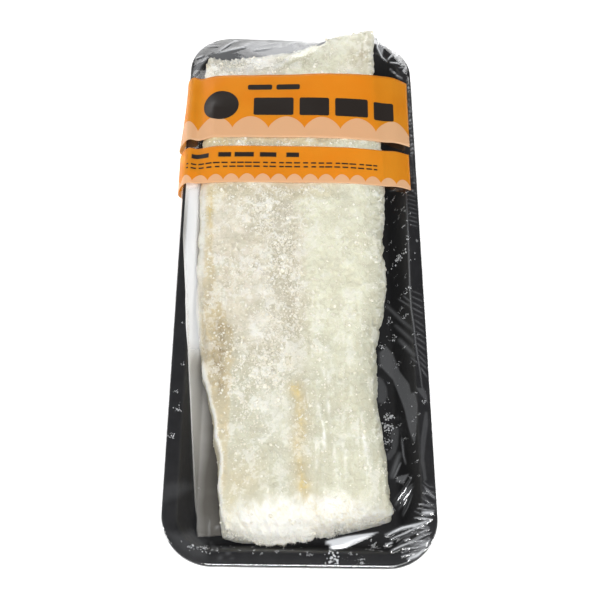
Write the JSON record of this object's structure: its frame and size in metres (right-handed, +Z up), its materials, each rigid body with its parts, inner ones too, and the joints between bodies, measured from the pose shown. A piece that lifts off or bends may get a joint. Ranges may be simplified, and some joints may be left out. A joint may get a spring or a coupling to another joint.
{
  "type": "packed salt cod fillet on foam tray",
  "caption": "Thick rectangular salt cod fillet on a black foam tray with absorbent pad, wrapped in clear stretch film and crossed by orange label strips.",
  "frame": {"origin": "on the surface that the pack rests on, under the middle of its own box", "axes": "+X across the tray to its right side, +Y along the tray to the end with the labels, +Z up out of the film"},
  "size_m": [0.1406, 0.3308, 0.0442],
  "materials": {
    "foam": "black expanded foam with a fine skin, softly satin",
    "fleece": "white absorbent fleece, matte",
    "salted_flesh": "cream dried flesh, grainy with salt",
    "film": "clear thin stretch film, glossy",
    "label_print": "orange print on thin strip, soft gloss"
  },
  "bodies": {
    "root": {"tray": "foam", "pad": "fleece", "fillet": "salted_flesh", "film_wrap": "film", "film_seal": "film", "label_wide": "label_print", "label_narrow": "label_print"}
  },
  "joints": []
}
